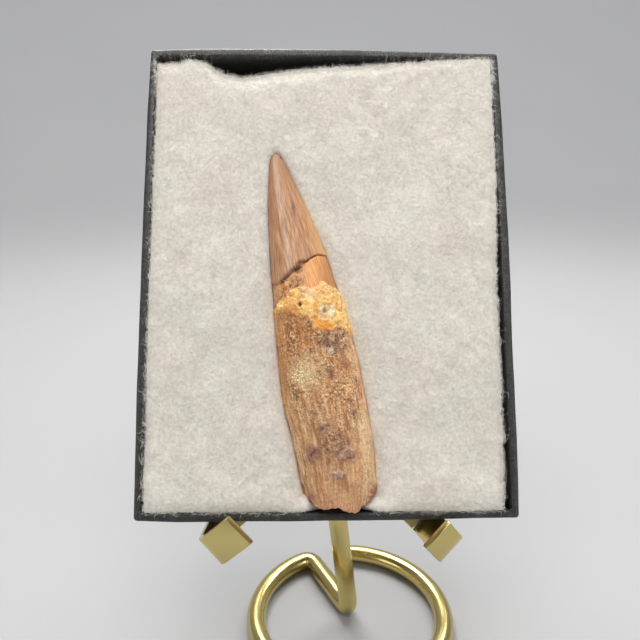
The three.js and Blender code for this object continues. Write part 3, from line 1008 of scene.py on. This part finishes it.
wash(blot(6.6, 27.5, 1.7, 4.2, 0.7), (212, 152, 122), 0.8)
wash(blot(-6.8, 26.4, 1.8, 1.3, 0.9), (124, 104, 72), 0.75)
wash(blot(1.5, 24.5, 4.2, 3.5, 0.9), (192, 140, 84), 0.6)
wash(blot(5.9, 22.3, 0.9, 1.5, 0.8), (84, 66, 58), 0.85)
right_strip = root * smooth(out_x + 0.05 * coarse, 0.56, 0.72) * fade(z + lumpy, 19, 24)
wash(right_strip, (255, 226, 180), 0.95)
wash(root * smooth(-out_x + 0.06 * coarse, 0.72, 0.9) * fade(z, 17, 21), (236, 204, 160), 0.8)
wash(fibrous, (216, 168, 124), 0.6)
streaked = np.clip(fibrous + 0.5 * root, 0, 1) * (1 - 0.6 * right_strip)
wash(streaked * smooth(grain_lines, 0.15, 0.6), (150, 100, 62), 0.65)
wash(streaked * smooth(-grain_lines, 0.2, 0.7), (246, 212, 162), 0.55)
wash(streaked * smooth(short_lines, 0.25, 0.7), (142, 94, 60), 0.5)
wash(rough_patch, (158, 114, 90), 0.6)
wash(knobs, (148, 104, 88), 0.75)
wash(knobs * smooth(billows, 0.35, 0.6), (216, 180, 156), 0.7)
wash(knobs * fade(billows, 0.05, 0.25), (84, 50, 40), 0.8)
wash(blot(2.2, 9.8, 1.7, 0.9, 0.7), (200, 172, 156), 0.75)
wash(blot(-1.1, 8.2, 0.8, 3.4, 0.9), (190, 118, 70), 0.7)
wash(root * fade(z + 1.2 * coarse + 1.5 * lumpy, 4.0, 7.0), (204, 142, 116), 0.4)
wash(blot(3.9, 4.9, 2.4, 1.6, 0.8), (222, 182, 128), 0.7)
wash(blot(-3.4, 5.0, 1.4, 1.2, 0.8), (176, 100, 84), 0.7)
wash(flake, (160, 92, 72), 0.9)
wash(1 - reach, (150, 98, 78), 0.9)
wash(crack * (0.65 + 0.35 * smooth(coarse, -0.4, 0.3)), (66, 44, 36), 0.9)
wash(crack * smooth(fine, 0.1, 0.6), (206, 170, 140), 0.5)

patchy = (0.5 + 0.5 * smooth(cloud(place + 80, 2.6), -0.3, 0.4)) * (1 - 0.75 * plain_side)
pitted = gritty * smooth(-grains - 0.25 * fine - 0.4 * coarse, 0.15, 0.8) * patchy
raised = gritty * smooth(grains + 0.2 * fine, 0.15, 0.8) * patchy
wash(pitted, (96, 62, 44), 0.7)
wash(raised, (250, 222, 186), 0.6)
specks = knobs * smooth(grains + 0.5 * fine, 0.3, 0.8)
wash(specks, (92, 56, 48), 0.8)

colours = tooth.data.attributes.new("ground", "FLOAT_COLOR", "POINT")
colours.data.foreach_set("color", np.c_[ground, np.ones(len(x))].astype(np.float32).ravel())
grit = gritty * (0.4 + 0.6 * patchy) + 0.4 * band + 0.15 * fibrous + (1 - reach)
store(tooth, "grit", np.clip(grit, 0, 1))
store(tooth, "lines", np.clip(enamel + 0.9 * fibrous + 0.5 * root, 0, 1))
store(tooth, "gloss", np.clip(enamel * (1 - crack) * (1 - 0.8 * crumbled), 0, 1))
wrap = tooth.data.attributes.new("wrap", "FLOAT_VECTOR", "POINT")
wrap.data.foreach_set("vector", np.c_[out_x, out_y, z / 10].astype(np.float32).ravel())
print("washes laid over", len(x), "points")

# %% [markdown]
# The grid's two long sides now touch along the back, and its two ends have shrunk to points. Merging
# doubles closes it into one skin. It happens last, so that every point could be reached by row and
# turn until now.

# %% Close the tooth
only(tooth)
edit_all()
bpy.ops.mesh.remove_doubles(threshold=0.0005)
close_skin()
bpy.ops.object.shade_smooth()

# %% [markdown]
# One material covers crown and root. The painted ground is multiplied by two fine patterns, grains
# where the surface is gritty and drawn-out lines where it is enamel or fibrous, and the same two
# patterns feed the bump. Gloss belongs to the enamel alone.

# %% Tooth finish
def make_fossil():
    """The tooth's material, which reads what was stored on its mesh."""
    material, tree, shader = new_material("fossil")
    place = object_place(tree)
    ground, grit, lines, gloss, wrap = [
        add_node(tree, "ShaderNodeAttribute", attribute_name=name).outputs[kind] for name, kind in (
            ("ground", "Color"), ("grit", "Fac"), ("lines", "Fac"), ("gloss", "Fac"), ("wrap", "Vector"))]
    grains = place_group(tree, pebbles, Vector=place, Scale=4300.0)
    grain_tone = carry_over(tree, grains["Tone"], (0, 1), (0.45, 1.6))
    line_tone = place_group(tree, streaks, Vector=wrap, Squeeze=(34, 34, 4), Low=0.74, High=1.2)
    colour = blend_colours(tree, grit, ground, grain_tone, "MULTIPLY")
    colour = blend_colours(tree, lines, colour, line_tone[0], "MULTIPLY")
    patchy = mottled(tree, 500.0, 0.0, 0.1)
    rough = arithmetic(tree, "ADD", carry_over(tree, gloss, (0, 1), (0.75, 0.33)), patchy)
    grain_height = arithmetic(tree, "MULTIPLY", grains["Height"], grit)
    line_height = arithmetic(tree, "MULTIPLY", line_tone[0], lines)
    relief = arithmetic(tree, "ADD", grain_height, line_height)
    finish_shader(tree, shader, colour, rough, (0.8, 0.0001, relief))
    return material


dress(tooth, TRAY_PLACE, make_fossil(), ["tooth"])

# %% [markdown]
# The batting is loose polyester fill. Its body is a soft slab that swells over the rim, falls away
# to the walls, and dips where the tooth is pressed in. A cloth simulation makes smooth pillows, but
# loose fill has no skin and is full of clumps, so its surface is written down as one function of
# place: how deep the fill's surface lies at each x and z of the tray. Both the slab and the fibres
# on it follow that function.

# %% How deep the batting lies
INNER_SIDE = TRAY_WIDTH / 2 - CARD
INNER_TOP = TRAY_HEIGHT - CARD
SWELL = 0.7
PRESS_CLEARANCE = 0.25
# How far the upper edge seems to sag below the wall when seen from the camera, from left to right
top_sag = profile(
    (-40, 3.0), (-39, 2.9), (-34, 2.4), (-32, 1.5), (-28.5, 2.5), (-26, 4.2), (-23.8, 5.7), (-20, 6.4),
    (-15.4, 5.9), (-10.6, 5.1), (-5.8, 4.5), (1.4, 3.7), (6.2, 3.2), (13.5, 2.8), (18.3, 2.5), (24, 1.9),
    (34, 1.3), (40, 1.2))
right_gap = profile(
    (0, 1.2), (9, 0.7), (22, 0.6), (36, 0.6), (50, 0.5), (60, 0.3), (70, 0.1), (84, 0.0), (108, 0.0))
right_roundness = profile(
    (0, 3.0), (9, 2.8), (22, 2.6), (36, 2.8), (50, 2.6), (60, 1.8), (70, 1.2), (84, 0.9), (108, 0.8))
left_gap = profile((0, 0.3), (9, 0.1), (20, 0.0), (60, 0.0), (90, 0.1), (108, 0.2))
left_roundness = profile((0, 2.6), (22, 2.2), (36, 1.5), (60, 1.5), (84, 1.8), (108, 1.8))


def shoulder(from_edge, radius):
    """How far a rounded edge has fallen back at a distance from it."""
    inward = np.clip(from_edge / radius, 0, 1)
    return radius * (1 - np.sqrt(1 - (1 - inward) ** 2))


def ragged(along):
    """Small tufts and notches along an edge of the batting."""
    line = np.ravel(along)
    line = np.c_[line, 0 * line, 0 * line]
    return np.reshape(0.2 + 0.2 * cloud(line, 1.6) + 0.12 * cloud(line + 50, 0.7), np.shape(along))


def top_roundness(x):
    """Radius of the batting's upper edge. Some of what seems to be sag is this roundness."""
    return 1.0 + 0.9 * top_sag(x)


def top_line(x):
    """Height of the batting's upper edge, which stays off the wall where it sags."""
    return INNER_TOP - np.maximum(top_sag(x) - 0.434 * top_roundness(x), 0) - ragged(x)


def right_line(z):
    """How far right the batting reaches."""
    return INNER_SIDE - right_gap(z) - ragged(z + 200)


def left_line(z):
    """How far left the batting reaches."""
    return left_gap(z) - INNER_SIDE + 0.5 * ragged(z + 400)


def batting_depth(x, z, fuzz=1.0):
    """Depth of the batting's surface behind the tray's rim, in millimetres."""
    falls = shoulder(top_line(x) - z, top_roundness(x))
    falls = np.maximum(falls, shoulder(right_line(z) - x, right_roundness(z)))
    falls = np.maximum(falls, shoulder(x - left_line(z), left_roundness(z)))
    falls = np.maximum(falls, shoulder(z - CARD + 0.5, 3.0))
    flat = np.c_[x, 0 * x, z]
    clumps = 0.6 * cloud(flat, 15) + 0.32 * cloud(flat, 6.5) + 0.13 * cloud(flat + 9, 2.8)
    wisps = 0.09 * cloud(flat + 30, 1.2) + 0.06 * cloud(flat + 60, 0.6)
    depth = falls + clumps + fuzz * wisps - SWELL
    # Beside the tooth the fill dips to the tooth's widest line, and under it to the pocket's floor
    wide = (tooth_right(z) - tooth_left(z)) / 2
    off_middle = np.abs(x - (tooth_right(z) + tooth_left(z)) / 2)
    past = np.maximum.reduce([off_middle - wide, z - TOOTH_TIP, broken_edge(x) - z])
    widest = TOOTH_SINK * (1 - z / TRAY_HEIGHT)
    beside = np.exp(-np.maximum(past, 0) / (0.6 + 0.25 * wide)) * smooth(z - broken_edge(x), -4, 0)
    depth = depth + (widest - 0.14 * tooth_half_depth(z) - depth) * beside
    inside = np.clip(1 - (off_middle / np.maximum(wide, 0.1)) ** 2, 0, 1)
    inside = inside * smooth(-past, 0, 0.4)
    depth = depth + (tooth_half_depth(z) + PRESS_CLEARANCE) * np.sqrt(inside) * (past < 0)
    hollow = np.exp(-((x - 3.0) / 6.0) ** 4) * fade(z, 1.2, 3.2 + 0.6 * cloud(flat, 2))
    return depth + 5 * hollow


# %% [markdown]
# The slab itself is a grid laid over the opening. Its lines crowd towards the edges, where it rounds
# off, and its border is then pushed back almost to the tray's bottom and closed there.

# %% Batting slab
BATTING_ACROSS = 250
BATTING_UP = 320
BATTING_BACK = TRAY_DEPTH - CARD - 0.3
BATTING_INSET = 0.1
CROWDING = 0.35

bpy.ops.mesh.primitive_grid_add(x_subdivisions=BATTING_ACROSS, y_subdivisions=BATTING_UP, size=1)
batting = newest("batting_fill")
flat_grid = get_points(batting)
share_x, share_z = [
    0.5 + 0.5 * np.sin(across * math.pi) * CROWDING + across * (1 - CROWDING) for across in flat_grid.T[:2]]
low = CARD + BATTING_INSET
z = low + share_z * (INNER_TOP - CARD - 2 * BATTING_INSET)
x = left_line(z) + BATTING_INSET + share_x * (right_line(z) - left_line(z) - 2 * BATTING_INSET)
z = low + share_z * (top_line(x) - CARD - 2 * BATTING_INSET)
depth = np.minimum(batting_depth(x, z), BATTING_BACK - 0.4)
set_points(batting, np.c_[x, depth, z])

only(batting)
bpy.ops.object.mode_set(mode="EDIT")
pick("edges", lambda edge: len(edge.link_faces) == 1)
bpy.ops.mesh.extrude_edges_move(TRANSFORM_OT_translate={"value": (0, 1, 0)})
shape = bmesh.from_edit_mesh(batting.data)
for vert in shape.verts:
    if vert.select:
        vert.co.y = BATTING_BACK
bmesh.update_edit_mesh(batting.data)
bpy.ops.mesh.edge_face_add()
close_skin()
bpy.ops.object.shade_smooth()

# %% [markdown]
# Fill is white, but never one white: it drifts in soft patches between a brighter white and a little
# warmer, greyer one, with a fine speckle over it. Light also travels some way through it, which the
# shader's subsurface scattering stands for, and sheen stands for the finest fuzz.

# %% Batting finish
FILL_WHITE = (0.90, 0.88, 0.81, 1)
FILL_WARM = (0.89, 0.845, 0.79, 1)
SCATTER_SHARE = 0.35
SCATTER_COLOURS = (1.0, 0.9, 0.8)
SCATTER_REACH = 0.0012


def make_batting(name, shine):
    """White fill, for the slab or for its fibres."""
    material, tree, shader = new_material(
        name, Roughness=0.95, Specular_IOR_Level=0.15, Sheen_Weight=shine, Sheen_Roughness=0.6)
    tint = mottled(tree, 90.0, 0.0, 1.0)
    colour = blend_colours(tree, tint, FILL_WHITE, FILL_WARM)
    speckle = mottled(tree, 1500.0, 0.86, 1.08)
    colour = blend_colours(tree, 1.0, colour, speckle, "MULTIPLY")
    return material, tree, shader, colour


slab_finish, tree, shader, colour = make_batting("loose_fill", 0.25)
shader.inputs["Subsurface Weight"].default_value = SCATTER_SHARE
shader.inputs["Subsurface Radius"].default_value = SCATTER_COLOURS
shader.inputs["Subsurface Scale"].default_value = SCATTER_REACH
threads = place_group(
    tree, streaks, Vector=object_place(tree), Squeeze=(2400, 2400, 900), Low=0.0, High=1.0)
finish_shader(tree, shader, colour, bump=(0.5, 0.0001, threads[0]))
dress(batting, TRAY_PLACE, slab_finish, ["batting"])

# %% [markdown]
# The fibres themselves make the fuzz. Hair curves would be the usual way, but they are lost when
# the model is exported, so each fibre is a narrow ribbon of a few quads. All of them are worked out
# at once: each starts somewhere on the slab, wanders in a loose curl, and lies on the surface with
# its middle lifted a little. Near the walls more of them start, and some reach over the rim.

# %% Fibres
FIBRE_STEPS = 7
FIBRES_EACH = 14000
SURFACE_STARTED = 15500
EDGE_STARTED = 60000
SURFACE_SEED = 11
EDGE_SEED = 21
STRAYS = 0.004


def lay_fibres(count, seed, reach, near_edge):
    """Where a set of fibres runs, as seen from the front, and the depth that each lies at."""
    random = np.random.default_rng(seed)
    start_x = random.uniform(-INNER_SIDE, INNER_SIDE, count)
    start_z = random.uniform(CARD, INNER_TOP, count)
    heading = random.uniform(0, 2 * math.pi, count)
    if near_edge:
        edge = random.choice(4, count, p=[0.24, 0.24, 0.14, 0.38])
        inset = random.exponential(0.6, count)
        sides = left_line(start_z) + inset, right_line(start_z) - inset
        start_x = np.choose(edge, [*sides, start_x, start_x])
        start_z = np.choose(edge, [start_z, start_z, CARD + inset, top_line(start_x) - inset])
        outward = np.choose(edge, [math.pi, 0, -math.pi / 2, math.pi / 2])
        heading = outward + random.normal(0, 0.8, count)
    curl = random.normal(0, 1.6, count)
    wave = random.normal(0, 1.1, count)
    phase = random.uniform(0, 2 * math.pi, count)
    length = reach * random.uniform(0.5, 1.4, count)
    t = np.linspace(0, 1, FIBRE_STEPS + 1)[:, None]
    way = heading + curl * t + wave * np.sin(phase + 5 * t)
    x = start_x + np.cumsum(np.cos(way) * length / FIBRE_STEPS, axis=0)
    z = start_z + np.cumsum(np.sin(way) * length / FIBRE_STEPS, axis=0)

    # Most fibres end near where the fill ends, and only a few reach over the rim or on to the tooth
    over = np.maximum.reduce([left_line(z) - x, x - right_line(z), z - top_line(x), CARD - z]).max(axis=0)
    on_tooth = np.minimum.reduce([x - tooth_left(z), tooth_right(z) - x, TOOTH_TIP - z]).max(axis=0)
    room = np.maximum(INNER_TOP - z[0], 0) * (z[0] > 100)
    stretch = random.exponential(1, count) * (0.22 + 0.35 * np.minimum(room, 1.5) if near_edge else 0.04)
    allowed = np.where(random.random(count) < STRAYS, 1.6, stretch)
    kept = np.flatnonzero((over < allowed) & (on_tooth < 0.25))[:FIBRES_EACH]
    x, z, way = x[:, kept], z[:, kept], way[:, kept]

    # Edge fibres stand off the rounded edge where they start, and the others follow the surface
    near_x = np.clip(x, left_line(z) + 0.05, right_line(z) - 0.05)
    near_z = np.clip(z, CARD + 0.05, top_line(x) - 0.05)
    depth = batting_depth(near_x.ravel(), near_z.ravel(), 0.3).reshape(x.shape) - 0.06
    if near_edge:
        depth = np.minimum(depth, depth[0])
    over_rim = (np.abs(x) > INNER_SIDE) | (z > INNER_TOP) | (z < CARD)
    return x, np.where(over_rim, np.minimum(depth, -0.1), depth), z, way


def make_fibres(name, count, seed, reach, lift, width, near_edge=False):
    """Make one mesh of ribbons along the fibres, each lifted and tilted a little differently."""
    x, depth, z, way = lay_fibres(count, seed, reach, near_edge)
    count = x.shape[1]
    random = np.random.default_rng(seed + 100)
    t = np.linspace(0, 1, FIBRE_STEPS + 1)[:, None]
    hump = lift * random.uniform(0.1, 1.0, count) ** 1.5
    y = depth - hump * np.sin(math.pi * t)
    taper = width * (0.35 + 0.65 * np.sin(math.pi * np.clip(t, 0.08, 0.92)))
    tilt = random.uniform(-0.8, 0.8, count)
    side = np.stack([-np.sin(way) * np.cos(tilt), np.sin(tilt) + 0 * way, np.cos(way) * np.cos(tilt)], -1)
    spine = np.stack([x, y, z], -1)
    pair = np.stack([spine - side * taper[..., None] / 2, spine + side * taper[..., None] / 2], 2)
    corner = np.arange(pair[..., 0].size).reshape(pair.shape[:3])
    quads = np.stack([corner[:-1, :, 0], corner[:-1, :, 1], corner[1:, :, 1], corner[1:, :, 0]], -1)
    mesh = bpy.data.meshes.new(name)
    mesh.from_pydata(pair.reshape(-1, 3), [], quads.reshape(-1, 4))
    fibres = bpy.data.objects.new(name, mesh)
    bpy.context.collection.objects.link(fibres)
    dress(fibres, TRAY_PLACE, fibre_finish)


fibre_finish, tree, shader, colour = make_batting("fibres", 0.1)
finish_shader(tree, shader, colour)
for number in range(3):
    make_fibres(f"surface_fibres_{number + 1}", SURFACE_STARTED, SURFACE_SEED + number, 3.2, 0.35, 0.06)
make_fibres("edge_fibres", EDGE_STARTED, EDGE_SEED, 1.7, 0.25, 0.045, near_edge=True)
